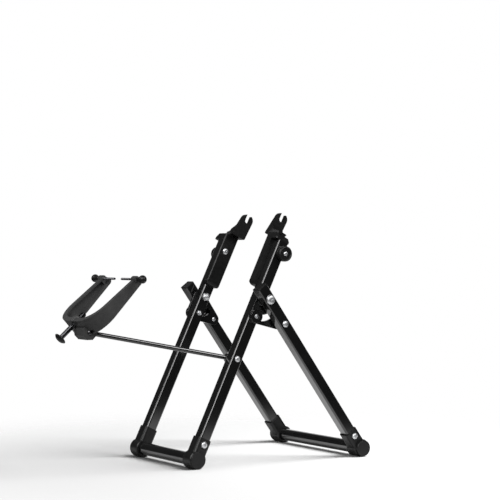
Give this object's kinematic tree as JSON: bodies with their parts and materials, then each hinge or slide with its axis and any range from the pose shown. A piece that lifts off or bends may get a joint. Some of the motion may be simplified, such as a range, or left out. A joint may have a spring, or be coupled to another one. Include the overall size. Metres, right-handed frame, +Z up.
{
  "type": "bicycle wheel truing stand",
  "caption": "Folding wheel truing stand: crossed square-tube legs, sliding axle forks on the front legs, and a swinging gauge arm with a horseshoe caliper and feelers.",
  "frame": {"origin": "on the floor under the middle of the stand's length and width", "axes": "+X fore and aft, away from the gauge; +Y along the wheel's axle, to the left; +Z up"},
  "size_m": [0.5422, 0.27, 0.4249],
  "materials": {
    "frame_black": "gloss",
    "moulded_black": "satin",
    "moulded_grey": "fine grain",
    "zinc": "bright zinc",
    "dark_steel": "blackened"
  },
  "bodies": {
    "front_frame": {"front_leg_left": "frame_black", "front_leg_right": "frame_black", "front_cross_tube": "frame_black", "front_foot_left": "moulded_black", "front_foot_right": "moulded_black", "front_foot_caps": "moulded_black", "front_foot_screws": "zinc", "hinge_bolts": "zinc", "hinge_nuts": "zinc", "lock_discs": "frame_black", "lock_bolts": "zinc", "lock_nuts": "zinc", "hub_block_left": "moulded_black", "hub_block_right": "moulded_black", "hub_knobs": "moulded_black", "hub_bolts": "zinc", "hub_screws": "zinc", "gauge_bolt": "zinc", "gauge_nut": "zinc"},
    "rear_frame": {"rear_leg_left": "frame_black", "rear_leg_right": "frame_black", "rear_cross_tube": "frame_black", "rear_foot_left": "moulded_black", "rear_foot_right": "moulded_black", "rear_foot_caps": "moulded_black", "rear_foot_screws": "zinc", "rear_leg_plugs": "moulded_black", "stay_left": "frame_black", "stay_right": "frame_black", "stay_rivets": "zinc"},
    "fork_left": {"hub_fork_left": "moulded_black"},
    "fork_right": {"hub_fork_right": "moulded_black"},
    "gauge_arm": {"gauge_rod": "frame_black"},
    "caliper_body": {"caliper": "moulded_grey", "caliper_bolt": "dark_steel", "adjuster_insert": "zinc"},
    "feeler_left_body": {"feeler_left": "dark_steel", "feeler_knob_left": "moulded_black"},
    "feeler_right_body": {"feeler_right": "dark_steel", "feeler_knob_right": "moulded_black"},
    "adjuster": {"adjuster_screw": "zinc", "adjuster_head": "moulded_black"}
  },
  "joints": [
    {"name": "rear_fold", "type": "hinge", "parent": "front_frame", "child": "rear_frame", "pos_m": [0.06366, 0, 0.27679], "axis": [0, 1, 0], "range_deg": [0, 60]},
    {"name": "fork_slide_left", "type": "slide", "parent": "front_frame", "child": "fork_left", "axis": [0, 1, 0], "range_m": [0, 0.0175]},
    {"name": "fork_slide_right", "type": "slide", "parent": "front_frame", "child": "fork_right", "axis": [0, -1, 0], "range_m": [0, 0.0175]},
    {"name": "gauge_swing", "type": "hinge", "parent": "front_frame", "child": "gauge_arm", "pos_m": [0.01562, -0.0885, 0.17783], "axis": [0, 1, 0], "range_deg": [-15, 60]},
    {"name": "caliper_tilt", "type": "hinge", "parent": "gauge_arm", "child": "caliper_body", "pos_m": [-0.22512, -0.015, 0.22593], "axis": [0, 1, 0], "range_deg": [-25, 25]},
    {"name": "feeler_slide_left", "type": "slide", "parent": "caliper_body", "child": "feeler_left_body", "axis": [0, 1, 0], "range_m": [-0.0035, 0.02]},
    {"name": "feeler_slide_right", "type": "slide", "parent": "caliper_body", "child": "feeler_right_body", "axis": [0, -1, 0], "range_m": [-0.0035, 0.02]},
    {"name": "adjuster_slide", "type": "slide", "parent": "caliper_body", "child": "adjuster", "axis": [0.7431, 0, 0.6691], "range_m": [-0.008, 0.021]}
  ]
}
